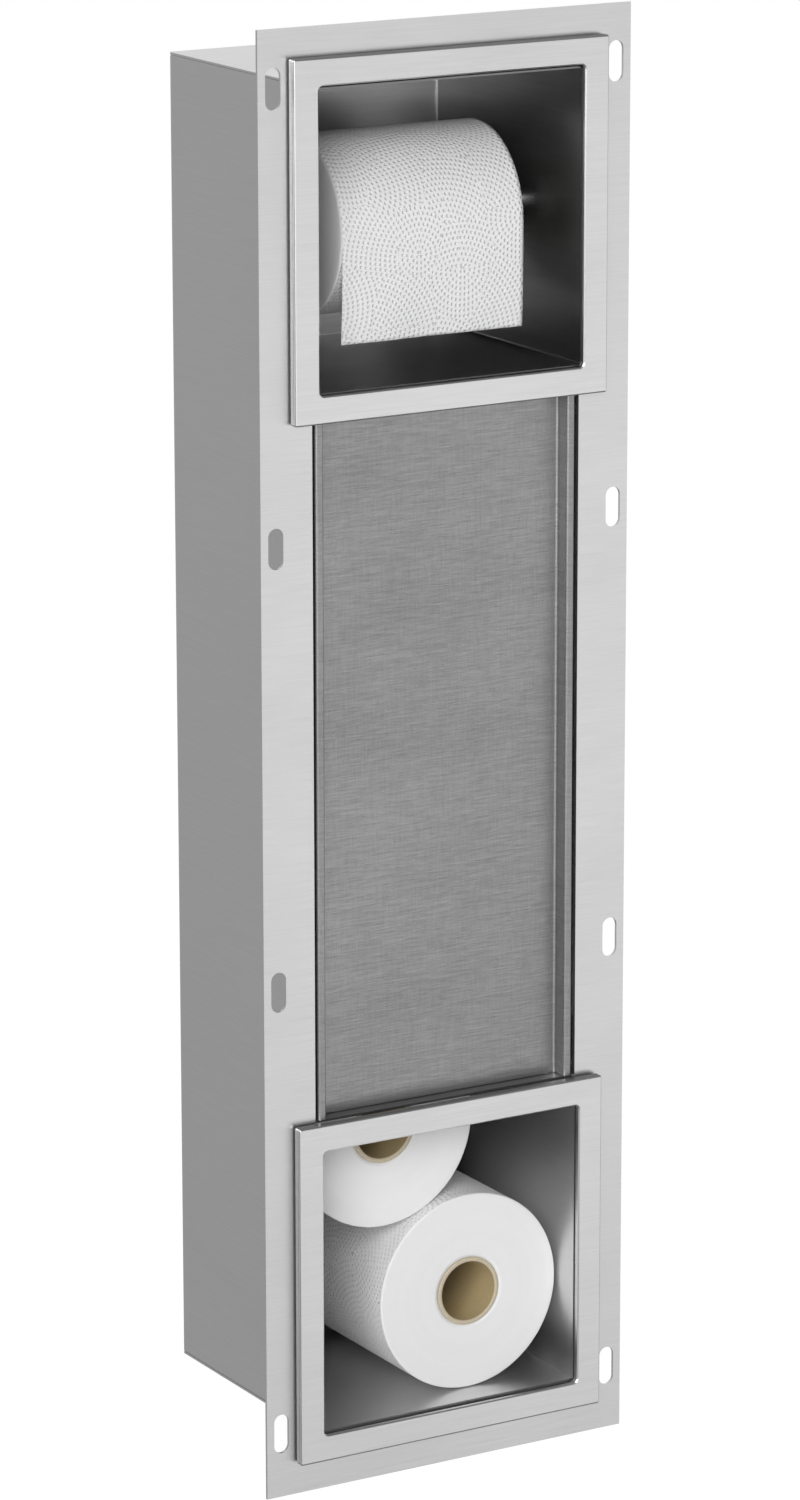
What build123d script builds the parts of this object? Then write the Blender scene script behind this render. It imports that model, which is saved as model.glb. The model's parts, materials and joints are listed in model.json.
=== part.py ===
# Recessed toilet roll holder with a magazine of spare rolls, folded from brushed stainless sheet.
# Millimetres. Origin: centre of the wall recess, on the face of the wall.
# +X is to the right, +Y goes into the wall, +Z is up, and the front looks along -Y.
import os
from math import cos, pi, radians, sin, sqrt

from build123d import *

os.makedirs("parts", exist_ok=True)

# Sheet thicknesses
shell_sheet = 1.0
flange_sheet = 1.5
liner_sheet = 0.8
panel_sheet = 1.0
rail_sheet = 1.2

# Housing, outside
housing_width = 147.0
housing_height = 650.0
housing_depth = 131.5
shell_bend = 1.0
seam_groove = 0.6

# Mounting flange
flange_margin = 26.5
flange_above = 26.75
flange_below = 28.25
slot_width = 8.0
slot_length = 19.5
slot_inset = 7.95
slot_top_inset = 27.25
slot_bottom_inset = 31.95
slot_upper_row = 111.8
slot_lower_row = -101.1

# Niche liner
liner_clearance = 0.2
liner_back_gap = 2.3
liner_past_flange = 2.5
liner_bend = 2.0

# Bezels
opening_height = 143.0
lower_opening_rise = 0.5
bezel_bar = 13.0
bezel_corner = 1.0
opening_corner = 2.4
seal_thickness = 1.5
seal_outer_inset = 1.0
seal_inner_inset = 1.2
frame_thickness = 2.6
frame_inner_inset = 1.0
face_thickness = 1.9
face_edge_radius = 0.9
face_inner_bevel = 0.6
joint_groove = 0.5

# Access panel
panel_side_gap = 1.75
panel_end_gap = 0.8
panel_lip = 4.5
panel_tray_depth = 8.4
panel_return = 4.0
panel_bend = 1.4

# Cross rails and the panel's magnets
rail_bend = 1.8
rail_front = 2.0
shelf_clearance = 0.3
magnet_width = 24.0
magnet_height = 10.0
magnet_thickness = 3.0
magnet_fit = 0.2
cup_wall = 0.8
magnet_spacing = 90.0
magnet_end_inset = 13.0
magnet_running_gap = 0.3
rail_past_cup = 6.0
strike_width = 30.0
strike_height = 18.0
strike_thickness = 1.0

# Spindle and its sockets
spindle_setback = 53.5
spindle_radius = 12.2
tube_wall = 0.8
tube_slide_gap = 0.15
plug_fit = 0.05
socket_floor = 1.2
socket_bore_radius = 4.2
socket_wall = 1.8
socket_depth = 5.0
tip_fit = 0.2
tip_shoulder_gap = 1.3
tip_head = 3.0
tip_chamfer = 0.8
plug_length = 8.0
sleeve_length = 75.0
plunger_overlap = 42.0
spring_fit = 0.45
wire_radius = 0.6
wire_sides = 6
spring_turns = 7

# Rolls
roll_width = 98.0
core_bore_radius = 15.0
core_radius = 17.2
core_fit = 0.05
roll_radius = 42.2
spare_radius = 49.5
roll_clearance = 0.3
lower_spare_setback = 13.6
upper_spare_setback = 19.5

# Hanging paper
tail_thickness = 0.4
tail_below_axis = 50.0
tail_wrap_behind = 35.0


# Places worked out from the sizes above
flange_front = -flange_sheet
shell_inside = housing_width / 2 - shell_sheet
back_inside = housing_depth - shell_sheet
cap_inside = housing_height / 2 - shell_sheet
flange_width = housing_width + 2 * flange_margin
flange_top = housing_height / 2 + flange_above
flange_bottom = -housing_height / 2 - flange_below

opening_width = 2 * (shell_inside - liner_clearance - liner_sheet)
bezel_width = opening_width + 2 * bezel_bar
bezel_height = opening_height + 2 * bezel_bar
upper_opening_top = housing_height / 2
upper_opening_bottom = upper_opening_top - opening_height
lower_opening_bottom = -housing_height / 2 + lower_opening_rise
lower_opening_top = lower_opening_bottom + opening_height
opening_centres = {
    "upper": (upper_opening_top + upper_opening_bottom) / 2,
    "lower": (lower_opening_top + lower_opening_bottom) / 2,
}
seal_front = flange_front - seal_thickness
frame_front = seal_front - frame_thickness

liner_outer_width = opening_width + 2 * liner_sheet
liner_outer_top = cap_inside - liner_clearance
liner_outer_bottom = upper_opening_bottom
liner_outer_back = back_inside - liner_back_gap
liner_front = flange_front - liner_past_flange

panel_top = upper_opening_bottom - bezel_bar - panel_end_gap
panel_bottom = lower_opening_top + bezel_bar + panel_end_gap
panel_half_width = shell_inside - panel_side_gap
tray_half_width = panel_half_width - panel_lip
tray_floor = flange_front + panel_tray_depth
tray_back = tray_floor + panel_sheet

strike_back = tray_back + strike_thickness
cup_rim = strike_back + magnet_running_gap
cup_depth = magnet_thickness + cup_wall
rail_face = cup_rim + cup_depth
pocket_width = magnet_width + 2 * magnet_fit
pocket_height = magnet_height + 2 * magnet_fit
cup_width = pocket_width + 2 * cup_wall
cup_height = pocket_height + 2 * cup_wall
magnet_upper_z = panel_top - magnet_end_inset
magnet_lower_z = panel_bottom + magnet_end_inset
rail_reach = cup_height / 2 + rail_past_cup
shelf_top = panel_bottom - shelf_clearance

spindle_z = opening_centres["upper"]
spindle_axis = Axis((0, spindle_setback, spindle_z), (1, 0, 0))
wall_x = opening_width / 2
socket_floor_x = wall_x - socket_floor
socket_mouth_x = socket_floor_x - socket_depth
tip_end_x = socket_floor_x - tip_fit
shoulder_x = socket_mouth_x - tip_shoulder_gap
head_x = shoulder_x - tip_head
plug_x = head_x - plug_length
sleeve_bore_radius = spindle_radius - tube_wall
plunger_radius = sleeve_bore_radius - tube_slide_gap
plunger_bore_radius = plunger_radius - tube_wall
spring_radius = plunger_bore_radius - spring_fit - wire_radius
sleeve_end_x = -head_x + sleeve_length
plunger_end_x = sleeve_end_x - plunger_overlap

roll_z = spindle_z - (core_bore_radius - spindle_radius - roll_clearance)
lower_spare_x = wall_x - roll_clearance - spare_radius
lower_spare_z = -cap_inside + roll_clearance + spare_radius
upper_spare_x = -(shell_inside - roll_clearance - spare_radius)
stack_pitch = 2 * spare_radius + roll_clearance
upper_spare_z = lower_spare_z + sqrt(stack_pitch**2 - (lower_spare_x - upper_spare_x) ** 2)


def facing(y):
    """Upright plane at depth y: local x to the right, local y up, extrusions come towards the room."""
    return Plane.XZ.offset(-y)


# Housing: one sheet folded round the back, open at the front
with BuildPart() as housing_shell:
    with BuildSketch(Plane.XY.offset(-cap_inside)):
        with BuildLine():
            FilletPolyline(
                (-shell_inside, flange_front),
                (-shell_inside, back_inside),
                (shell_inside, back_inside),
                (shell_inside, flange_front),
                radius=shell_bend,
            )
            offset(amount=shell_sheet, side=Side.LEFT)
        make_face()
    extrude(amount=2 * cap_inside)
    for end in (housing_shell.faces().sort_by(Axis.Z)[0], housing_shell.faces().sort_by(Axis.Z)[-1]):
        side_edges = end.edges().filter_by(Axis.Y).sort_by(Axis.X)
        chamfer((side_edges[0], side_edges[-1]), seam_groove)
housing_shell.part.label = "housing_shell"
export_step(housing_shell.part, "parts/housing_shell.step")

# The two caps are the same flat blank, welded on the shell's ends
for name, bottom in (("housing_top_cap", cap_inside), ("housing_bottom_cap", -housing_height / 2)):
    with BuildPart() as cap:
        with BuildSketch(Plane.XY.offset(bottom)):
            with Locations((0, (flange_front + housing_depth) / 2)):
                Rectangle(housing_width, housing_depth - flange_front)
        extrude(amount=shell_sheet)
        back_corners = cap.edges().filter_by(Axis.Z).group_by(Axis.Y)[-1]
        fillet(back_corners, shell_bend + shell_sheet)
    cap.part.label = name
    export_step(cap.part, f"parts/{name}.step")

# Mounting flange: the housing stands in its mouth, welded and ground flush with the front
slot_rows = (
    flange_top - slot_top_inset,
    slot_upper_row,
    slot_lower_row,
    flange_bottom + slot_bottom_inset,
)
with BuildPart() as mounting_flange:
    with BuildSketch(facing(0)):
        with Locations((0, (flange_top + flange_bottom) / 2)):
            Rectangle(flange_width, flange_top - flange_bottom)
        Rectangle(housing_width, housing_height, mode=Mode.SUBTRACT)
        for row in slot_rows:
            for side in (-1, 1):
                with Locations((side * (flange_width / 2 - slot_inset), row)):
                    SlotOverall(slot_length, slot_width, rotation=90, mode=Mode.SUBTRACT)
    extrude(amount=flange_sheet)
mounting_flange.part.label = "mounting_flange"
export_step(mounting_flange.part, "parts/mounting_flange.step")

# Niche liner: a sleeve folded round the niche, with a flat back welded in, open at the front
liner_height = liner_outer_top - liner_outer_bottom
liner_centre = (liner_outer_top + liner_outer_bottom) / 2
with BuildPart() as niche_liner:
    with BuildSketch(facing(liner_outer_back)):
        with Locations((0, liner_centre)):
            RectangleRounded(liner_outer_width, liner_height, liner_bend)
    extrude(amount=liner_outer_back - liner_front)
    with BuildSketch(facing(liner_outer_back - liner_sheet)):
        with Locations((0, liner_centre)):
            RectangleRounded(opening_width, liner_height - 2 * liner_sheet, liner_bend - liner_sheet)
    extrude(amount=liner_outer_back - liner_sheet - liner_front, mode=Mode.SUBTRACT)
niche_liner.part.label = "niche_liner"
export_step(niche_liner.part, "parts/niche_liner.step")


def bezel_ring(centre, inner_inset):
    """Ring with rounded corners round a compartment's opening, drawn on the current sketch."""
    with Locations((0, centre)):
        RectangleRounded(bezel_width, bezel_height, bezel_corner)
        RectangleRounded(
            opening_width + 2 * inner_inset,
            opening_height + 2 * inner_inset,
            opening_corner + inner_inset,
            mode=Mode.SUBTRACT,
        )


# Bezels: a black seal on the flange, a rear frame with room for the liner's edge, and a face
seal_width = bezel_width - 2 * seal_outer_inset
seal_height = bezel_height - 2 * seal_outer_inset
seal_opening_width = opening_width + 2 * seal_inner_inset
seal_opening_height = opening_height + 2 * seal_inner_inset
for name, centre in opening_centres.items():
    with BuildPart() as bezel_seal:
        with BuildSketch(facing(flange_front)):
            with Locations((0, centre)):
                Rectangle(seal_width, seal_height)
                Rectangle(seal_opening_width, seal_opening_height, mode=Mode.SUBTRACT)
        extrude(amount=seal_thickness)
    bezel_seal.part.label = f"{name}_bezel_seal"
    export_step(bezel_seal.part, f"parts/{name}_bezel_seal.step")

    with BuildPart() as bezel_frame:
        with BuildSketch(facing(seal_front)):
            bezel_ring(centre, frame_inner_inset)
        extrude(amount=frame_thickness)
    bezel_frame.part.label = f"{name}_bezel_frame"
    export_step(bezel_frame.part, f"parts/{name}_bezel_frame.step")

    with BuildPart() as bezel_face:
        with BuildSketch(facing(frame_front)):
            bezel_ring(centre, 0)
        extrude(amount=face_thickness)
        front = bezel_face.faces().sort_by(Axis.Y)[0]
        rear = bezel_face.faces().sort_by(Axis.Y)[-1]
        fillet(front.outer_wire().edges(), face_edge_radius)
        chamfer(front.inner_wires()[0].edges(), face_inner_bevel)
        chamfer(rear.outer_wire().edges(), joint_groove)
    bezel_face.part.label = f"{name}_bezel_face"
    export_step(bezel_face.part, f"parts/{name}_bezel_face.step")

# Access panel: a pan folded with a lip along each long side, open at its ends
with BuildPart() as access_panel:
    with BuildSketch(Plane.XY.offset(panel_bottom)):
        with BuildLine():
            FilletPolyline(
                (-panel_half_width, flange_front + panel_return),
                (-panel_half_width, flange_front),
                (-tray_half_width, flange_front),
                (-tray_half_width, tray_floor),
                (tray_half_width, tray_floor),
                (tray_half_width, flange_front),
                (panel_half_width, flange_front),
                (panel_half_width, flange_front + panel_return),
                radius=panel_bend,
            )
            offset(amount=panel_sheet, side=Side.LEFT)
        make_face()
    extrude(amount=panel_top - panel_bottom)
access_panel.part.label = "access_panel"
export_step(access_panel.part, "parts/access_panel.step")

magnet_places = [
    (side * magnet_spacing / 2, z) for z in (magnet_upper_z, magnet_lower_z) for side in (-1, 1)
]
with BuildPart() as panel_strike_plates:
    with BuildSketch(facing(strike_back)):
        with Locations(*magnet_places):
            Rectangle(strike_width, strike_height)
    extrude(amount=strike_thickness)
panel_strike_plates.part.label = "panel_strike_plates"
export_step(panel_strike_plates.part, "parts/panel_strike_plates.step")

# Cross rails: folded angles between the housing's sides, hidden by the bezels and the panel
with BuildPart() as upper_cross_rail:
    with BuildSketch(Plane.YZ):
        with BuildLine():
            FilletPolyline(
                (rail_front, liner_outer_bottom),
                (rail_face + rail_sheet, liner_outer_bottom),
                (rail_face + rail_sheet, magnet_upper_z - rail_reach),
                radius=rail_bend,
            )
            offset(amount=rail_sheet, side=Side.RIGHT)
        make_face()
    extrude(amount=shell_inside, both=True)
upper_cross_rail.part.label = "upper_cross_rail"
export_step(upper_cross_rail.part, "parts/upper_cross_rail.step")

with BuildPart() as lower_cross_rail:
    with BuildSketch(Plane.YZ):
        with BuildLine():
            FilletPolyline(
                (0, shelf_top - rail_sheet),
                (rail_face + rail_sheet, shelf_top - rail_sheet),
                (rail_face + rail_sheet, magnet_lower_z + rail_reach),
                radius=rail_bend,
            )
            offset(amount=rail_sheet, side=Side.LEFT)
        make_face()
    extrude(amount=shell_inside, both=True)
lower_cross_rail.part.label = "lower_cross_rail"
export_step(lower_cross_rail.part, "parts/lower_cross_rail.step")

# Block magnets in steel cups on the rails
with BuildPart() as magnet_cups:
    with BuildSketch(facing(rail_face)):
        with Locations(*magnet_places):
            Rectangle(cup_width, cup_height)
    extrude(amount=cup_depth)
    with BuildSketch(facing(rail_face - cup_wall)):
        with Locations(*magnet_places):
            Rectangle(pocket_width, pocket_height)
    extrude(amount=magnet_thickness, mode=Mode.SUBTRACT)
magnet_cups.part.label = "magnet_cups"
export_step(magnet_cups.part, "parts/magnet_cups.step")

with BuildPart() as panel_magnets:
    with BuildSketch(facing(rail_face - cup_wall)):
        with Locations(*magnet_places):
            Rectangle(magnet_width, magnet_height)
    extrude(amount=magnet_thickness)
panel_magnets.part.label = "panel_magnets"
export_step(panel_magnets.part, "parts/panel_magnets.step")


def outline(*points):
    """Face inside an outline of (x, radius) points, drawn through the spindle's axis."""
    with BuildSketch(Plane.XY.move(Location((0, spindle_setback, spindle_z)))) as profile:
        with BuildLine():
            Polyline(*points, close=True)
        make_face()
    return profile.sketch


# Sockets on the niche's side walls, and the tips that sit in them
for name, side in (("left", -1), ("right", 1)):
    with BuildPart() as spindle_socket:
        profile = outline(
            (side * wall_x, 0),
            (side * wall_x, socket_bore_radius + socket_wall),
            (side * socket_mouth_x, socket_bore_radius + socket_wall),
            (side * socket_mouth_x, socket_bore_radius),
            (side * socket_floor_x, socket_bore_radius),
            (side * socket_floor_x, 0),
        )
        revolve(profile, axis=spindle_axis)
    spindle_socket.part.label = f"spindle_socket_{name}"
    export_step(spindle_socket.part, f"parts/spindle_socket_{name}.step")

tip_radius = socket_bore_radius - tip_fit
for name, side, bore in (("left", -1, sleeve_bore_radius), ("right", 1, plunger_bore_radius)):
    with BuildPart() as spindle_tip:
        profile = outline(
            (side * tip_end_x, 0),
            (side * tip_end_x, tip_radius),
            (side * shoulder_x, tip_radius),
            (side * shoulder_x, spindle_radius - tip_chamfer),
            (side * (shoulder_x - tip_chamfer), spindle_radius),
            (side * head_x, spindle_radius),
            (side * head_x, bore - plug_fit),
            (side * plug_x, bore - plug_fit),
            (side * plug_x, 0),
        )
        revolve(profile, axis=spindle_axis)
    spindle_tip.part.label = f"spindle_tip_{name}"
    export_step(spindle_tip.part, f"parts/spindle_tip_{name}.step")

# Telescopic spindle: the plunger slides in the sleeve against the spring
with BuildPart() as spindle_sleeve:
    profile = outline(
        (-head_x, sleeve_bore_radius),
        (-head_x, spindle_radius),
        (sleeve_end_x, spindle_radius),
        (sleeve_end_x, sleeve_bore_radius),
    )
    revolve(profile, axis=spindle_axis)
spindle_sleeve.part.label = "spindle_sleeve"
export_step(spindle_sleeve.part, "parts/spindle_sleeve.step")

with BuildPart() as spindle_plunger:
    profile = outline(
        (plunger_end_x, plunger_bore_radius),
        (plunger_end_x, plunger_radius),
        (head_x, plunger_radius),
        (head_x, plunger_bore_radius),
    )
    revolve(profile, axis=spindle_axis)
spindle_plunger.part.label = "spindle_plunger"
export_step(spindle_plunger.part, "parts/spindle_plunger.step")

# Spring between the two plugs, guided by the plunger's bore
spring_span = 2 * (plug_x - wire_radius)
coil_pitch = spring_span / spring_turns


def coil_point(turns):
    """Point and direction on the spring's centre line, so many turns from its left end."""
    angle = 2 * pi * turns
    point = Vector(
        -spring_span / 2 + coil_pitch * turns,
        spindle_setback + spring_radius * cos(angle),
        spindle_z + spring_radius * sin(angle),
    )
    rise = coil_pitch / (2 * pi * spring_radius)
    return point, Vector(rise, -sin(angle), cos(angle)).normalized()


with BuildPart() as spindle_spring:
    with BuildLine() as coil:
        for half in range(2 * spring_turns):
            start, start_way = coil_point(half / 2)
            finish, finish_way = coil_point((half + 1) / 2)
            chord = finish - start
            ways = start_way + finish_way
            # Two equal arcs that meet smoothly: reach solves |chord - reach * ways| = 2 * reach
            a = ways.dot(ways) - 4
            b = -2 * chord.dot(ways)
            c = chord.dot(chord)
            reach = (-b - sqrt(b * b - 4 * a * c)) / (2 * a)
            middle = (start + start_way * reach + finish - finish_way * reach) / 2
            first_arc = TangentArc(start, middle, tangent=start_way)
            TangentArc(middle, finish, tangent=first_arc % 1)
    with BuildSketch(Plane(coil.line @ 0, x_dir=(0, 1, 0), z_dir=coil.line % 0)):
        RegularPolygon(wire_radius, wire_sides)
    sweep(path=coil.wire(), clean=False)
spindle_spring.part.label = "spindle_spring"
export_step(spindle_spring.part, "parts/spindle_spring.step")

# Rolls: a card core with the paper wound on it
for name, x, z, front in (
    ("lower_spare", lower_spare_x, lower_spare_z, lower_spare_setback),
    ("upper_spare", upper_spare_x, upper_spare_z, upper_spare_setback),
):
    with BuildPart() as roll_core:
        with BuildSketch(facing(front + roll_width)):
            with Locations((x, z)):
                Circle(core_radius)
                Circle(core_bore_radius, mode=Mode.SUBTRACT)
        extrude(amount=roll_width)
    roll_core.part.label = f"{name}_core"
    export_step(roll_core.part, f"parts/{name}_core.step")

    with BuildPart() as roll_paper:
        with BuildSketch(facing(front + roll_width)):
            with Locations((x, z)):
                Circle(spare_radius)
                Circle(core_radius + core_fit, mode=Mode.SUBTRACT)
        extrude(amount=roll_width)
    roll_paper.part.label = f"{name}_paper"
    export_step(roll_paper.part, f"parts/{name}_paper.step")

with BuildPart() as roll_core:
    with BuildSketch(Plane.YZ):
        with Locations((spindle_setback, roll_z)):
            Circle(core_radius)
            Circle(core_bore_radius, mode=Mode.SUBTRACT)
    extrude(amount=roll_width / 2, both=True)
roll_core.part.label = "roll_core"
export_step(roll_core.part, "parts/roll_core.step")

with BuildPart() as roll_paper:
    with BuildSketch(Plane.YZ):
        with Locations((spindle_setback, roll_z)):
            Circle(roll_radius)
            Circle(core_radius + core_fit, mode=Mode.SUBTRACT)
    extrude(amount=roll_width / 2, both=True)
roll_paper.part.label = "roll_paper"
export_step(roll_paper.part, "parts/roll_paper.step")

# The loose sheet runs over the top of the roll and hangs at its front
tail_radius = roll_radius + roll_clearance
wrap = radians(tail_wrap_behind)
with BuildPart() as paper_tail:
    with BuildSketch(Plane.YZ):
        with BuildLine():
            over = RadiusArc(
                (spindle_setback + tail_radius * sin(wrap), roll_z + tail_radius * cos(wrap)),
                (spindle_setback - tail_radius, roll_z),
                -tail_radius,
            )
            Line(over @ 1, (spindle_setback - tail_radius, roll_z - tail_below_axis))
            offset(amount=tail_thickness, side=Side.RIGHT)
        make_face()
    extrude(amount=roll_width / 2, both=True)
paper_tail.part.label = "paper_tail"
export_step(paper_tail.part, "parts/paper_tail.step")
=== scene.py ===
# Recessed toilet roll holder: brushed steel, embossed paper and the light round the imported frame.
import json
import math
import random

import bmesh
import bpy
from mathutils import Matrix, Vector


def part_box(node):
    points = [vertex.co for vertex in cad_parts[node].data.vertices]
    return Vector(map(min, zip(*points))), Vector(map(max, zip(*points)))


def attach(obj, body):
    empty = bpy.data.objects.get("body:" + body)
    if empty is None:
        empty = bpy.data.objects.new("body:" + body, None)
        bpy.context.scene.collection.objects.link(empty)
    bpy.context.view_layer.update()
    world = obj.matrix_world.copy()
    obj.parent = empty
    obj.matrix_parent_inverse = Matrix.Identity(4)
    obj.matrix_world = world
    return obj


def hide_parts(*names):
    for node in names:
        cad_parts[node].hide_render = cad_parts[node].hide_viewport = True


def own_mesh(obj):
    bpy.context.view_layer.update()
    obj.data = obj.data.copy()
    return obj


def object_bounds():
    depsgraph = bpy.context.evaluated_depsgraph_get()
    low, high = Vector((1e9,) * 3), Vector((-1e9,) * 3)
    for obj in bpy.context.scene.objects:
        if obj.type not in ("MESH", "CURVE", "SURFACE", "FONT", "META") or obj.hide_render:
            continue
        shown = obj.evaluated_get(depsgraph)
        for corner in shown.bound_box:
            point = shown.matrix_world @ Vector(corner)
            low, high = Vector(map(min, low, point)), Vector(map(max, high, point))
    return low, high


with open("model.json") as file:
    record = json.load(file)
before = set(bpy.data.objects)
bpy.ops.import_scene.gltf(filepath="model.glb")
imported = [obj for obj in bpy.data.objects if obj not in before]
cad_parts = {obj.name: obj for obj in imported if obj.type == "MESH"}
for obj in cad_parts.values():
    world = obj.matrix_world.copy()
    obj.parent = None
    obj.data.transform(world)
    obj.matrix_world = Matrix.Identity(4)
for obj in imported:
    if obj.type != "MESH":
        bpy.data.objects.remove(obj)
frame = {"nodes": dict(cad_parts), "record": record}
nodes = frame["nodes"]
cadLow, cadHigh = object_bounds()
print("frame loaded:", len(nodes), "nodes")

# ---- the photograph's camera
photoCamera = {
    "place": (-1.41086, -2.34337, 0.70198),
    "turn": (75.687, 0.072, -30.621),  # degrees
    "lens": 143.27,
    "sensor": 36.0,  # along the long side of the 800 x 1500 frame
    "clipEnd": 60,
}


def addCamera(settings):
    data = bpy.data.cameras.new("photoCamera")
    data.lens = settings["lens"]
    data.sensor_width = settings["sensor"]
    data.clip_end = settings["clipEnd"]
    camera = bpy.data.objects.new("photoCamera", data)
    bpy.context.scene.collection.objects.link(camera)
    camera.location = settings["place"]
    camera.rotation_euler = [math.radians(a) for a in settings["turn"]]
    bpy.context.scene.camera = camera


# ---- small helpers for node trees
def newMaterial(name):
    material = bpy.data.materials.new(name)
    material.use_nodes = True
    tree = material.node_tree
    return material, tree, tree.nodes["Principled BSDF"]


def addPlace(tree, kind="Object"):
    return tree.nodes.new("ShaderNodeTexCoord").outputs[kind]


def addMath(tree, operation, *values):
    node = tree.nodes.new("ShaderNodeMath")
    node.operation = operation
    for socket, value in zip(node.inputs, values):
        if isinstance(value, (int, float)):
            socket.default_value = value
        else:
            tree.links.new(value, socket)
    return node.outputs[0]


def addVector(tree, operation, *values, result="Vector"):
    node = tree.nodes.new("ShaderNodeVectorMath")
    node.operation = operation
    for socket, value in zip(node.inputs, values):
        if isinstance(value, tuple):
            socket.default_value = value
        else:
            tree.links.new(value, socket)
    return node.outputs[result]


def splitVector(tree, vector):
    node = tree.nodes.new("ShaderNodeSeparateXYZ")
    tree.links.new(vector, node.inputs[0])
    return node.outputs


def addLength(tree, x, y):
    squares = [addMath(tree, "MULTIPLY", side, side) for side in (x, y)]
    return addMath(tree, "SQRT", addMath(tree, "ADD", *squares))


def addBlend(tree, first, second, share):
    # share is the second value's part of the sum
    rest = addMath(tree, "MULTIPLY", first, 1 - share)
    return addMath(tree, "ADD", rest, addMath(tree, "MULTIPLY", second, share))


def addRange(tree, value, low, high, fromLow=0.0, fromHigh=1.0, smooth=False):
    node = tree.nodes.new("ShaderNodeMapRange")
    node.interpolation_type = "SMOOTHSTEP" if smooth else "LINEAR"
    tree.links.new(value, node.inputs["Value"])
    node.inputs["From Min"].default_value = fromLow
    node.inputs["From Max"].default_value = fromHigh
    node.inputs["To Min"].default_value = low
    node.inputs["To Max"].default_value = high
    return node.outputs["Result"]


def stretched(tree, vector, sizes):
    # the vector counted in steps of these sizes, one for each axis or one for all
    if isinstance(sizes, float):
        sizes = (sizes,) * 3
    node = tree.nodes.new("ShaderNodeMapping")
    node.inputs["Scale"].default_value = [1 / s for s in sizes]
    tree.links.new(vector, node.inputs["Vector"])
    return node.outputs["Vector"]


def addNoise(tree, vector, sizes, detail, rough):
    node = tree.nodes.new("ShaderNodeTexNoise")
    node.inputs["Scale"].default_value = 1.0
    node.inputs["Detail"].default_value = detail
    node.inputs["Roughness"].default_value = rough
    tree.links.new(stretched(tree, vector, sizes), node.inputs["Vector"])
    return node.outputs["Fac"]


def addRamp(tree, value, low, high):
    # from one colour to the other as the value goes from 0 to 1
    node = tree.nodes.new("ShaderNodeValToRGB")
    node.color_ramp.elements[0].color = (*low, 1)
    node.color_ramp.elements[1].color = (*high, 1)
    tree.links.new(value, node.inputs["Fac"])
    return node.outputs["Color"]


def addMix(tree, factor, first, second):
    node = tree.nodes.new("ShaderNodeMix")
    node.data_type = "RGBA"
    tree.links.new(factor, node.inputs["Factor"])
    tree.links.new(first, node.inputs["A"])
    tree.links.new(second, node.inputs["B"])
    return node.outputs["Result"]


def addBump(tree, height, distance, normal=None):
    node = tree.nodes.new("ShaderNodeBump")
    node.inputs["Distance"].default_value = distance
    node.inputs["Strength"].default_value = 1.0
    tree.links.new(height, node.inputs["Height"])
    if normal is not None:
        tree.links.new(normal, node.inputs["Normal"])
    return node.outputs["Normal"]


# ---- brushed steel
def greyPair(grey, spread):
    return (grey * (1 - spread),) * 3, (min(1, grey * (1 + spread)),) * 3


def brushedSteel(name, settings):
    material, tree, shader = newMaterial(name)
    place = addPlace(tree)
    spread = settings["spread"]
    grainSpan = settings["grainSpan"]
    grain = addNoise(tree, place, settings["grain"], detail=5.0, rough=0.65)
    cloud = addNoise(tree, place, settings["cloud"], detail=3.0, rough=0.5)
    streak = addRange(tree, grain, 0.0, 1.0, *grainSpan)
    patch = addRange(tree, cloud, 0.0, 1.0, *settings["cloudSpan"])
    mixed = addBlend(tree, streak, patch, settings["cloudShare"])
    if "cross" in settings:
        across = addNoise(tree, place, settings["cross"], detail=5.0, rough=0.65)
        across = addRange(tree, across, -0.5, 0.5, *grainSpan)
        mixed = addMath(tree, "MULTIPLY_ADD", across, settings["crossShare"], mixed)
    tint = addRamp(tree, mixed, *greyPair(settings["grey"], spread))
    if "backPlate" in settings:
        # painted light: from this depth on, the flat plate welded in behind gets a paler grey that
        # stands in for the light falling on it
        depth, paintedLightGrey = settings["backPlate"]
        behind = addMath(tree, "GREATER_THAN", splitVector(tree, place)["Y"], depth)
        tint = addMix(tree, behind, tint, addRamp(tree, mixed, *greyPair(paintedLightGrey, spread)))
    smoothest, roughest = settings["rough"]
    tree.links.new(tint, shader.inputs["Base Color"])
    tree.links.new(addRange(tree, mixed, roughest, smoothest), shader.inputs["Roughness"])
    tree.links.new(addBump(tree, mixed, settings["bump"]), shader.inputs["Normal"])
    shader.inputs["Metallic"].default_value = 1.0
    shader.inputs["Anisotropic"].default_value = settings["anisotropy"]
    return material


def steelSettings(grey, *names, **changes):
    settings = {
        "nodes": names,
        "grey": grey,
        "spread": 0.05,
        "grain": (0.045, 0.045, 0.0007),  # metres: long across, fine up and down
        "grainSpan": (0.28, 0.72),  # the noise that counts as darkest and as lightest
        "cloud": (0.09, 0.09, 0.05),
        "cloudSpan": (0.3, 0.7),
        "cloudShare": 0.25,
        "rough": (0.30, 0.40),
        "bump": 0.00002,
        "anisotropy": 0.4,
    }
    settings.update(changes)
    return settings


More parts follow.
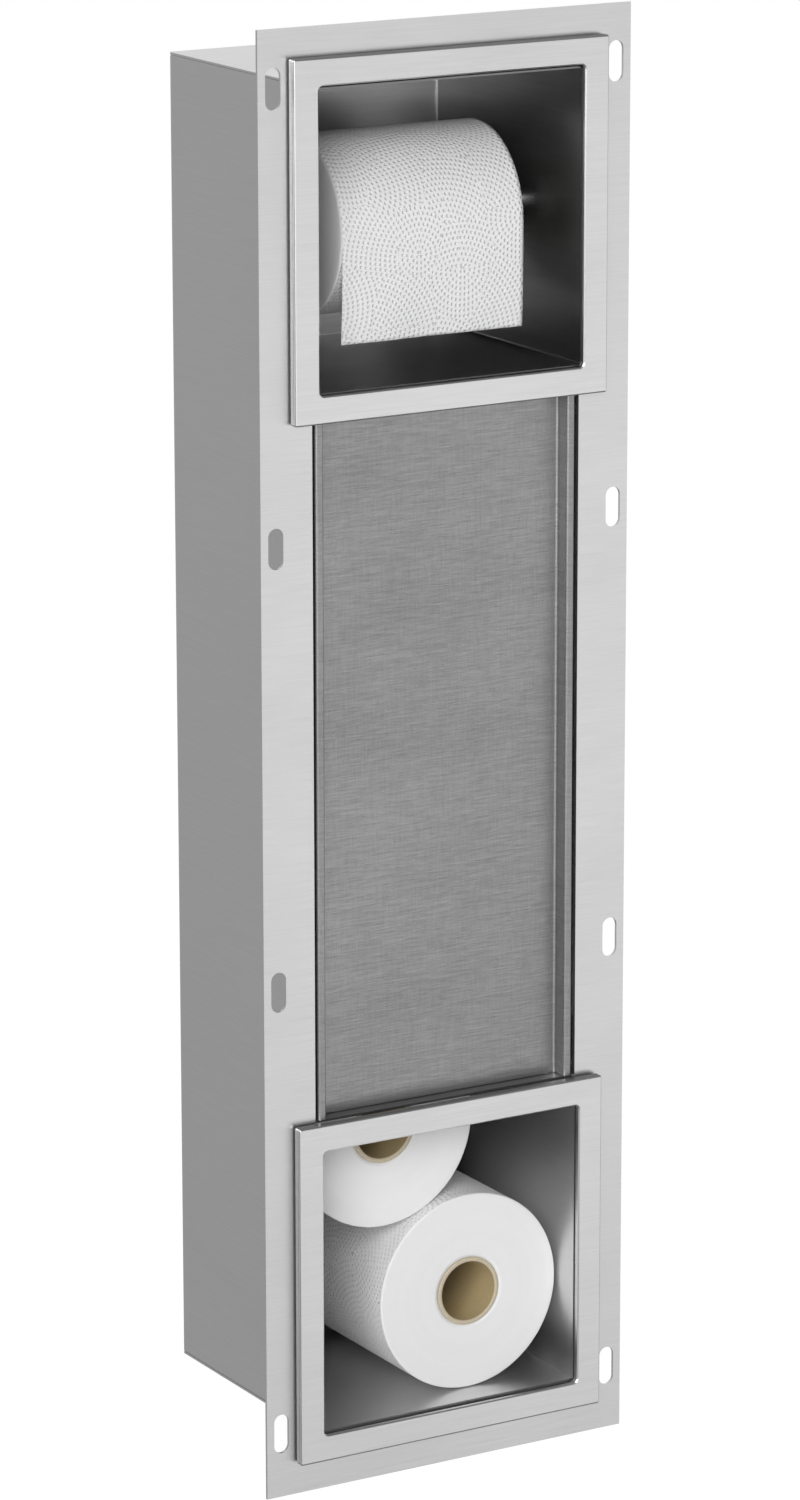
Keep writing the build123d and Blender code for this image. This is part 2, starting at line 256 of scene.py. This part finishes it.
steelFinishes = {
    "flangeSteel": steelSettings(0.74, "mounting_flange"),
    "bezelSteel": steelSettings(
        0.75,
        "upper_bezel_face",
        "lower_bezel_face",
        grain=(0.03, 0.03, 0.0005),
        rough=(0.28, 0.36),
    ),
    "bezelFrameSteel": steelSettings(
        0.62,
        "upper_bezel_frame",
        "lower_bezel_frame",
        spread=0.14,
    ),
    "housingSteel": steelSettings(
        0.74,
        "housing_shell",
        spread=0.04,
        grain=(0.03, 0.03, 0.0007),
    ),
    "capSteel": steelSettings(
        0.74,
        "housing_top_cap",
        "housing_bottom_cap",
        grain=(0.045, 0.0009, 0.045),
    ),
    "linerSteelPaintedShade": steelSettings(
        # painted shade: the liner's dark grey stands in for the shade inside the niches; the sheet
        # is the same steel as the rest
        0.25,
        "niche_liner",
        spread=0.08,
        rough=(0.26, 0.36),
        # painted light: the back plate's paler grey stands in for the light falling on it
        backPlate=(0.126, 0.78),  # from this depth on, and its grey
    ),
    "panelSteel": steelSettings(
        0.37,
        "access_panel",
        spread=0.20,
        grain=(0.012, 0.012, 0.0006),
        cross=(0.0006, 0.0006, 0.009),
        crossShare=0.35,
        bump=0.00006,
        rough=(0.34, 0.46),
    ),
    "railSteel": steelSettings(0.50, "upper_cross_rail", "lower_cross_rail"),
    "strikeSteel": steelSettings(0.46, "panel_strike_plates"),
    "socketSteel": steelSettings(
        0.55,
        "spindle_socket_left",
        "spindle_socket_right",
        grain=(0.0006, 0.02, 0.02),
    ),
    "springSteel": steelSettings(0.45, "spindle_spring"),
}


# ---- bright plating on the spindle's tubes and the magnets
plateFinishes = {
    "spindleChrome": {
        "nodes": ("spindle_sleeve", "spindle_plunger"),
        "wipe": (0.02, 0.006, 0.006),
        "dark": (0.70, 0.70, 0.71),
        "light": (0.82, 0.82, 0.82),
        "rough": (0.06, 0.16),
    },
    "nickelPlating": {
        "nodes": ("magnet_cups", "panel_magnets"),
        "wipe": (0.004, 0.004, 0.004),
        "dark": (0.55, 0.54, 0.51),
        "light": (0.68, 0.67, 0.64),
        "rough": (0.18, 0.30),
    },
}


def brightPlate(name, settings):
    material, tree, shader = newMaterial(name)
    wipe = addNoise(tree, addPlace(tree), settings["wipe"], detail=4.0, rough=0.6)
    tint = addRamp(tree, wipe, settings["dark"], settings["light"])
    tree.links.new(tint, shader.inputs["Base Color"])
    tree.links.new(addRange(tree, wipe, *settings["rough"]), shader.inputs["Roughness"])
    shader.inputs["Metallic"].default_value = 1.0
    return material


# ---- plastic tips, and foam seals whose near-black is partly painted shade for the gap under the bezels
skinFinishes = {
    "tipPlastic": {
        "nodes": ("spindle_tip_left", "spindle_tip_right"),
        "dark": (0.42, 0.42, 0.43),
        "light": (0.50, 0.50, 0.50),
        "grain": 0.0012,
        "rough": (0.42, 0.55),
        "bump": 0.00002,
    },
    "sealFoamAndPaintedGap": {
        "nodes": ("upper_bezel_seal", "lower_bezel_seal"),
        # partly the seals' own black foam, partly painted shade standing in for the shadow gap
        # behind the bezels
        "dark": (0.010, 0.010, 0.010),
        "light": (0.028, 0.028, 0.028),
        "grain": 0.0006,
        "rough": (0.75, 0.95),
        "bump": 0.0001,
    },
}


def speckledSkin(name, settings):
    # moulded or foamed surface: fine cells that dent it a little
    material, tree, shader = newMaterial(name)
    cells = addNoise(tree, addPlace(tree), settings["grain"], detail=4.0, rough=0.7)
    tint = addRamp(tree, cells, settings["dark"], settings["light"])
    tree.links.new(tint, shader.inputs["Base Color"])
    tree.links.new(addRange(tree, cells, *settings["rough"]), shader.inputs["Roughness"])
    tree.links.new(addBump(tree, cells, settings["bump"]), shader.inputs["Normal"])
    return material


# ---- tissue paper, embossed with rings of dots
paperSettings = {
    "ringCell": 0.028,  # metres between the centres of the rings of dots
    "ringScatter": 0.75,
    "ringAside": 1.0,  # how many cells a ring's centre may lie aside
    "ringStep": 0.0026,
    "dotStep": 0.0023,
    "dotEdge": (0.15, 0.75),
    "dotDent": 0.00045,
    "fibre": 0.0009,
    "fibreDent": 0.00003,
    "fibreShare": 0.4,
    # dark: the dots' painted shade, mixed with the fibre's own tone
    "dark": (0.73, 0.73, 0.73),
    "light": (0.86, 0.86, 0.86),
    "rough": 0.95,
    "sheen": 0.15,
}


def embossedPaper(name, settings):
    # needs a UV map in metres
    material, tree, shader = newMaterial(name)
    flat = addPlace(tree, "UV")
    scaled = stretched(tree, flat, settings["ringCell"])
    cells = tree.nodes.new("ShaderNodeTexVoronoi")
    cells.voronoi_dimensions = "2D"
    cells.inputs["Scale"].default_value = 1.0
    cells.inputs["Randomness"].default_value = settings["ringScatter"]
    tree.links.new(scaled, cells.inputs["Vector"])
    # every cell's rings run round a point outside it, so that arcs meet arcs
    far = settings["ringAside"]
    span, start = (2 * far, 2 * far, 0.0), (-far, -far, 0.0)
    aside = addVector(tree, "MULTIPLY_ADD", cells.outputs["Color"], span, start)
    centre = addVector(tree, "ADD", cells.outputs["Position"], aside)
    arm = splitVector(tree, addVector(tree, "SUBTRACT", scaled, centre))
    ringsPerCell = settings["ringCell"] / settings["ringStep"]
    radius = addMath(tree, "MULTIPLY", addLength(tree, arm["X"], arm["Y"]), ringsPerCell)
    ring = addMath(tree, "ADD", addMath(tree, "FLOOR", radius), 0.5)
    inRing = addMath(tree, "MULTIPLY", addMath(tree, "SUBTRACT", radius, ring), 2.0)
    turn = addMath(tree, "ARCTAN2", arm["Y"], arm["X"])
    along = addMath(tree, "MULTIPLY", turn, ring)
    dots = addMath(tree, "MULTIPLY", along, settings["ringStep"] / settings["dotStep"])
    onDot = addMath(tree, "SUBTRACT", addMath(tree, "FRACT", dots), 0.5)
    onDot = addMath(tree, "MULTIPLY", onDot, 2.0)
    off = addLength(tree, inRing, onDot)
    dent = addRange(tree, off, 0.0, 1.0, *settings["dotEdge"], smooth=True)
    fibre = addNoise(tree, flat, settings["fibre"], detail=5.0, rough=0.7)
    # painted shade: the dots are darker in colour as well as dented, standing in for the shade in
    # each dent; the fibre noise is the paper's own uneven tone
    tone = addBlend(tree, dent, fibre, settings["fibreShare"])
    tint = addRamp(tree, tone, settings["dark"], settings["light"])
    felt = addBump(tree, fibre, settings["fibreDent"])
    dented = addBump(tree, dent, settings["dotDent"], normal=felt)
    tree.links.new(tint, shader.inputs["Base Color"])
    tree.links.new(dented, shader.inputs["Normal"])
    shader.inputs["Roughness"].default_value = settings["rough"]
    shader.inputs["Sheen Weight"].default_value = settings["sheen"]
    return material


rollEndSettings = {
    "layer": 0.00055,
    "band": 0.0045,
    "bandShare": 0.45,
    "wobble": 0.02,  # metres between the places where the layers wander
    "wobbleReach": 0.002,
    "dark": (0.86, 0.86, 0.86),
    "light": (0.96, 0.96, 0.96),
    "dent": 0.00012,
    "rough": 0.95,
}


def woundEnd(name, settings):
    # cut ends of the layers: fine rings round the piece's own Z axis
    material, tree, shader = newMaterial(name)
    place = addPlace(tree)
    axes = splitVector(tree, place)
    wobble = addNoise(tree, place, settings["wobble"], detail=2.0, rough=0.5)
    rings = tree.nodes.new("ShaderNodeCombineXYZ")
    tree.links.new(addLength(tree, axes["X"], axes["Y"]), rings.inputs["X"])
    tree.links.new(addMath(tree, "MULTIPLY", wobble, settings["wobbleReach"]), rings.inputs["Y"])
    fine = addNoise(tree, rings.outputs[0], settings["layer"], detail=3.0, rough=0.6)
    broad = addNoise(tree, rings.outputs[0], settings["band"], detail=2.0, rough=0.5)
    tone = addBlend(tree, fine, broad, settings["bandShare"])
    tint = addRamp(tree, tone, settings["dark"], settings["light"])
    tree.links.new(tint, shader.inputs["Base Color"])
    tree.links.new(addBump(tree, tone, settings["dent"]), shader.inputs["Normal"])
    shader.inputs["Roughness"].default_value = settings["rough"]
    return material


# ---- the cores' card
coreSettings = {
    "dark": (0.34, 0.26, 0.13),
    "light": (0.44, 0.345, 0.19),
    "edgeDark": (0.56, 0.48, 0.35),
    "edgeLight": (0.66, 0.58, 0.44),
    "fibre": 0.0016,
    "seamPitch": 0.06,
    "seamWidth": 0.03,  # share of the pitch
    "seamDark": 0.8,
    "bump": 0.00004,
    "rough": 0.9,
}


def woundCard(name, settings, dark, light):
    # grey board wound on a slant round the piece's own Z axis
    material, tree, shader = newMaterial(name)
    place = addPlace(tree)
    axes = splitVector(tree, place)
    turn = addMath(tree, "ARCTAN2", axes["Y"], axes["X"])
    turn = addMath(tree, "DIVIDE", turn, 2 * math.pi)
    along = addMath(tree, "DIVIDE", axes["Z"], settings["seamPitch"])
    wound = addMath(tree, "FRACT", addMath(tree, "ADD", turn, along))
    seam = addRange(tree, wound, 0.0, 1.0, 0.0, settings["seamWidth"])
    fibre = addNoise(tree, place, settings["fibre"], detail=5.0, rough=0.65)
    tone = addMath(tree, "MULTIPLY", fibre, addRange(tree, seam, settings["seamDark"], 1.0))
    tint = addRamp(tree, tone, settings[dark], settings[light])
    tree.links.new(tint, shader.inputs["Base Color"])
    tree.links.new(addBump(tree, tone, settings["bump"]), shader.inputs["Normal"])
    shader.inputs["Roughness"].default_value = settings["rough"]
    return material


def dressNodes(finishes, makeMaterial):
    for finish, settings in finishes.items():
        material = makeMaterial(finish, settings)
        for name in settings["nodes"]:
            for holder in nodes[name].material_slots:
                holder.material = material


dressNodes(steelFinishes, brushedSteel)
dressNodes(plateFinishes, brightPlate)
dressNodes(skinFinishes, speckledSkin)
paperMaterial = embossedPaper("tissuePaper", paperSettings)
rollEndMaterial = woundEnd("rollEnd", rollEndSettings)
coreMaterial = woundCard("coreBoard", coreSettings, "dark", "light")
coreEdgeMaterial = woundCard("coreBoardEdge", coreSettings, "edgeDark", "edgeLight")
print("finishes made:", len(bpy.data.materials))


# ---- turned pieces: paper rolls and card cores, each about its own Z axis
def turnedMesh(name, profile, kinds, segments):
    # profile: (radius, height) points of a closed outline; kinds: the material from each point on
    mesh = bpy.data.meshes.new(name)
    build = bmesh.new()
    uv = build.loops.layers.uv.new("wrap")
    rings = []
    for i in range(segments):
        angle = 2 * math.pi * i / segments
        across, up = math.cos(angle), math.sin(angle)
        rings.append([build.verts.new((r * across, r * up, z)) for r, z in profile])
    count = len(profile)
    outer = max(r for r, z in profile)
    for i in range(segments):
        here, there = rings[i], rings[(i + 1) % segments]
        for k in range(count):
            after = (k + 1) % count
            face = build.faces.new((here[k], there[k], there[after], here[after]))
            face.smooth = True
            face.material_index = kinds[k]
            for loop, (step, point) in zip(face.loops, ((0, k), (1, k), (1, after), (0, after))):
                loop[uv].uv = (2 * math.pi * outer * (i + step) / segments, profile[point][1])
    bmesh.ops.recalc_face_normals(build, faces=build.faces)
    build.to_mesh(mesh)
    build.free()
    return mesh


def placeTurned(name, mesh, centre, axis, body, replaced):
    piece = bpy.data.objects.new(name, mesh)
    bpy.context.scene.collection.objects.link(piece)
    turn = Vector((0, 0, 1)).rotation_difference(Vector(axis)).to_matrix().to_4x4()
    piece.matrix_world = Matrix.Translation(centre) @ turn
    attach(piece, body)
    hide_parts(replaced)


def bodyOf(node):
    for body, members in frame["record"]["behaviour"]["bodies"].items():
        if node in members:
            return body
    return None


rollSettings = {
    "segments": 160,
    "edge": 0.0008,  # soft outer edge of the cut layers
    "edgeSteps": 3,
    "dish": 0.0004,  # how far the layers at the core lie in
    "ragged": 0.00012,
    "endRings": 14,
    "coreGap": 0.00005,
    "seed": 7,
}
coreShape = {
    "segments": 96,
    "edge": 0.0003,
    "wall": 0.0022,
}


def rollProfile(outer, bore, width, settings):
    # from the bore over the far end face, along the outside and back over the near end face
    half = width / 2
    edge = settings["edge"]
    draw = random.Random(settings["seed"])
    points, kinds = [], []

    def endFace(side, order):
        for k in order:
            share = k / settings["endRings"]
            r = bore + (outer - edge - bore) * share
            dip = settings["dish"] * (1 - share) ** 2 + draw.uniform(0, settings["ragged"])
            points.append((r, side * (half - dip)))
            kinds.append(1)

    def softEdge(side, start, lastKind):
        steps = settings["edgeSteps"]
        for k in range(steps + 1):
            a = math.radians(start - 90 * k / steps)
            r = outer - edge + edge * math.cos(a)
            points.append((r, side * (half - edge) + edge * math.sin(a)))
            kinds.append(lastKind if k == steps else 1)

    endFace(1, range(settings["endRings"]))
    softEdge(1, 90, 0)
    softEdge(-1, 0, 1)
    endFace(-1, reversed(range(settings["endRings"])))
    return points, kinds


def coreProfile(outer, width, settings):
    bore = outer - settings["wall"]
    edge = settings["edge"]
    half = width / 2
    points = [
        (bore, half - edge),
        (bore + edge, half),
        (outer - edge, half),
        (outer, half - edge),
        (outer, edge - half),
        (outer - edge, -half),
        (bore + edge, -half),
        (bore, edge - half),
    ]
    return points, [1, 1, 1, 0, 1, 1, 1, 0]


def addRoll(name, axis):
    # paper and core take their sizes from the frame's own nodes
    paperLow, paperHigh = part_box(f"{name}_paper")
    coreLow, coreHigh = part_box(f"{name}_core")
    centre = (paperLow + paperHigh) / 2
    along = 0 if axis[0] else 1
    width = paperHigh[along] - paperLow[along]
    paperOuter = (paperHigh.z - paperLow.z) / 2
    coreOuter = (coreHigh.z - coreLow.z) / 2

    bore = coreOuter + rollSettings["coreGap"]
    points, kinds = rollProfile(paperOuter, bore, width, rollSettings)
    mesh = turnedMesh(f"{name}_paper_look", points, kinds, rollSettings["segments"])
    mesh.materials.append(paperMaterial)
    mesh.materials.append(rollEndMaterial)
    body = bodyOf(f"{name}_paper")
    placeTurned(f"{name}_paper_look", mesh, centre, axis, body, f"{name}_paper")

    points, kinds = coreProfile(coreOuter, width, coreShape)
    mesh = turnedMesh(f"{name}_core_look", points, kinds, coreShape["segments"])
    mesh.materials.append(coreMaterial)
    mesh.materials.append(coreEdgeMaterial)
    body = bodyOf(f"{name}_core")
    placeTurned(f"{name}_core_look", mesh, centre, axis, body, f"{name}_core")


addRoll("roll", (1, 0, 0))
addRoll("lower_spare", (0, -1, 0))
addRoll("upper_spare", (0, -1, 0))
print("rolls turned")


# ---- the spindle's spring, wound at its rest length (the real one shortens as the plunger goes in)
springSettings = {
    "wire": 0.0006,
    "sides": 10,
    "turns": 7,
    "steps": 36,  # per turn
    "travel": 0.014,  # of the plunger
}


def addSpring(settings):
    low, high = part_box("spindle_spring")
    middle = (low + high) / 2
    wire = settings["wire"]
    sides = settings["sides"]
    coil = (high.y - low.y) / 2 - wire
    span = high.x - low.x - 2 * wire
    count = settings["turns"] * settings["steps"]
    along = Vector((1, 0, 0))
    mesh = bpy.data.meshes.new("spindle_spring_look")
    build = bmesh.new()
    rings = []
    for i in range(count + 1):
        angle = 2 * math.pi * i / settings["steps"]
        out = Vector((0, math.cos(angle), math.sin(angle)))
        centre = Vector((low.x + wire + span * i / count, middle.y, middle.z)) + out * coil
        ring = []
        for k in range(sides):
            a = 2 * math.pi * k / sides
            ring.append(build.verts.new(centre + wire * (math.cos(a) * out + math.sin(a) * along)))
        rings.append(ring)
    for here, there in zip(rings, rings[1:]):
        for k in range(sides):
            after = (k + 1) % sides
            face = build.faces.new((here[k], here[after], there[after], there[k]))
            face.smooth = True
    build.faces.new(reversed(rings[0]))
    build.faces.new(rings[-1])
    bmesh.ops.recalc_face_normals(build, faces=build.faces)
    build.to_mesh(mesh)
    build.free()
    mesh.materials.append(bpy.data.materials["springSteel"])
    piece = bpy.data.objects.new("spindle_spring_look", mesh)
    bpy.context.scene.collection.objects.link(piece)
    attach(piece, bodyOf("spindle_spring"))
    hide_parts("spindle_spring")
    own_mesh(piece)


addSpring(springSettings)
print("spring wound")


# ---- the loose sheet that hangs from the roll in use
tailSettings = {
    "columns": 48,
    "step": 0.0016,
    "thickness": 0.00025,
    "inset": 0.0002,  # from the CAD sheet's outer face to the middle of this one
    "wrapBehind": 35.0,  # degrees behind the top of the roll where the sheet leaves the roll
    "wave": 0.0007,
    "waveGrowth": 1.5,
    # turns of each ripple: per metre across, where it starts, twist towards the free edge, share
    "ripples": ((75, 0.8, 0.0, 0.6), (141, 0.0, 2.4, 0.4)),
    "curl": 0.0012,
    "curlGrowth": 3,
}


def addTail(settings):
    low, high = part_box("paper_tail")
    rollLow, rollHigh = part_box("roll_paper")
    axis = (rollLow + rollHigh) / 2
    radius = axis.y - low.y - settings["inset"]
    wrap = math.radians(settings["wrapBehind"])
    arc = radius * (wrap + math.pi / 2)
    drop = axis.z - low.z
    length = arc + drop
    width = high.x - low.x
    rows = round(length / settings["step"])
    columns = settings["columns"]

    def sheetPoint(x, run):
        if run < arc:
            angle = wrap - run / radius  # from the top, positive behind
            y = axis.y + radius * math.sin(angle)
            return x, y, axis.z + radius * math.cos(angle)
        fall = (run - arc) / drop
        wave = settings["wave"] * fall ** settings["waveGrowth"]
        curl = settings["curl"] * fall ** settings["curlGrowth"]
        ripple = sum(
            share * math.sin(x * pitch + start + twist * fall)
            for pitch, start, twist, share in settings["ripples"]
        )
        return x, axis.y - radius + wave * ripple + curl, axis.z - (run - arc)

    mesh = bpy.data.meshes.new("paper_tail_look")
    build = bmesh.new()
    uv = build.loops.layers.uv.new("wrap")
    grid = []
    for i in range(rows + 1):
        places = [low.x + width * k / columns for k in range(columns + 1)]
        grid.append([build.verts.new(sheetPoint(x, length * i / rows)) for x in places])
    for i in range(rows):
        for k in range(columns):
            corners = ((i, k), (i, k + 1), (i + 1, k + 1), (i + 1, k))
            face = build.faces.new([grid[a][b] for a, b in corners])
            face.smooth = True
            for loop, (a, b) in zip(face.loops, corners):
                loop[uv].uv = (length * a / rows, width * b / columns)
    bmesh.ops.recalc_face_normals(build, faces=build.faces)
    build.to_mesh(mesh)
    build.free()
    mesh.materials.append(paperMaterial)
    piece = bpy.data.objects.new("paper_tail_look", mesh)
    bpy.context.scene.collection.objects.link(piece)
    thick = piece.modifiers.new("thickness", "SOLIDIFY")
    thick.thickness = settings["thickness"]
    thick.offset = 0
    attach(piece, bodyOf("paper_tail"))
    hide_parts("paper_tail")
    print("loose sheet hung:", round(length * 1000, 1), "mm long")


addTail(tailSettings)


# ---- floor, world and lamp
stageSettings = {
    "floorSize": 14.0,
    "floorGrey": 0.95,
    "floorRough": 0.9,
    # what the camera sees of the floor: its own white, and the share that takes shadow
    "floorSeen": (0.93, 0.2),
    "dim": 0.18,
    # long softbox in front, at a little under eye level
    "frontBox": {
        "toward": (0.2, -0.98, 0.0),
        "ends": (0.15, 0.6),  # cosines where it ends and where it is full
        "height": -0.22,
        "falloff": 12.0,
        "strength": 0.92,
    },
    # rear softboxes: direction, strength, cosines where each ends and where it is full
    "rearBoxes": (
        ((0.47, 0.83, 0.32), 0.75, 0.55, 0.92),
        ((-0.49, 0.83, -0.25), 0.21, 0.55, 0.90),
    ),
    "keyPlace": (-2.9, -3.3, 1.6),
    "keySize": 3.0,
    "keyPower": 172.0,
}


def addFloor(settings):
    mesh = bpy.data.meshes.new("studioFloor")
    half = settings["floorSize"] / 2
    z = cadLow.z
    corners = [(-half, -half, z), (half, -half, z), (half, half, z), (-half, half, z)]
    mesh.from_pydata(corners, [], [(0, 1, 2, 3)])
    floor = bpy.data.objects.new("studioFloor", mesh)
    bpy.context.scene.collection.objects.link(floor)
    material, tree, shader = newMaterial("paleFloor")
    shader.inputs["Base Color"].default_value = (*(settings["floorGrey"],) * 3, 1)
    shader.inputs["Roughness"].default_value = settings["floorRough"]
    white, shadowShare = settings["floorSeen"]
    glow = tree.nodes.new("ShaderNodeEmission")
    glow.inputs["Strength"].default_value = white
    veil = tree.nodes.new("ShaderNodeBsdfDiffuse")
    veil.inputs["Color"].default_value = (*(shadowShare,) * 3, 1)
    seen = tree.nodes.new("ShaderNodeAddShader")
    tree.links.new(glow.outputs[0], seen.inputs[0])
    tree.links.new(veil.outputs[0], seen.inputs[1])
    path = tree.nodes.new("ShaderNodeLightPath")
    mix = tree.nodes.new("ShaderNodeMixShader")
    tree.links.new(path.outputs["Is Camera Ray"], mix.inputs[0])
    tree.links.new(shader.outputs[0], mix.inputs[1])
    tree.links.new(seen.outputs[0], mix.inputs[2])
    tree.links.new(mix.outputs[0], tree.nodes["Material Output"].inputs["Surface"])
    mesh.materials.append(material)
    floor.visible_glossy = False


def addSoftbox(tree, look, direction, strength, ends, full):
    middle = tuple(Vector(direction).normalized())
    toward = addVector(tree, "DOT_PRODUCT", look, middle, result="Value")
    return addRange(tree, toward, 0.0, strength, ends, full, smooth=True)


def addWorld(settings):
    world = bpy.data.worlds.new("studioWorld")
    bpy.context.scene.world = world
    world.use_nodes = True
    tree = world.node_tree
    back = tree.nodes["Background"]
    back.inputs["Color"].default_value = (1, 1, 1, 1)
    look = addPlace(tree, "Generated")
    box = settings["frontBox"]
    across = addSoftbox(tree, look, box["toward"], box["strength"], *box["ends"])
    rise = addMath(tree, "SUBTRACT", splitVector(tree, look)["Z"], box["height"])
    fade = addMath(tree, "MULTIPLY", addMath(tree, "MULTIPLY", rise, rise), box["falloff"])
    band = addMath(tree, "MAXIMUM", addMath(tree, "SUBTRACT", 1.0, fade), 0.0)
    level = addMath(tree, "MULTIPLY_ADD", across, band, settings["dim"])
    for rear in settings["rearBoxes"]:
        level = addMath(tree, "ADD", level, addSoftbox(tree, look, *rear))
    # the camera itself sees white behind the object
    path = tree.nodes.new("ShaderNodeLightPath")
    level = addMath(tree, "MAXIMUM", level, path.outputs["Is Camera Ray"])
    tree.links.new(level, back.inputs["Strength"])


def addKey(settings):
    data = bpy.data.lights.new("keySoftbox", "AREA")
    data.shape = "SQUARE"
    data.size = settings["keySize"]
    data.energy = settings["keyPower"]
    lamp = bpy.data.objects.new("keySoftbox", data)
    bpy.context.scene.collection.objects.link(lamp)
    lamp.location = settings["keyPlace"]
    lamp.rotation_euler = (-lamp.location).to_track_quat("-Z", "Y").to_euler()


addCamera(photoCamera)
addFloor(stageSettings)
addWorld(stageSettings)
addKey(stageSettings)
bpy.context.scene.view_settings.view_transform = "Standard"
print("stage set")
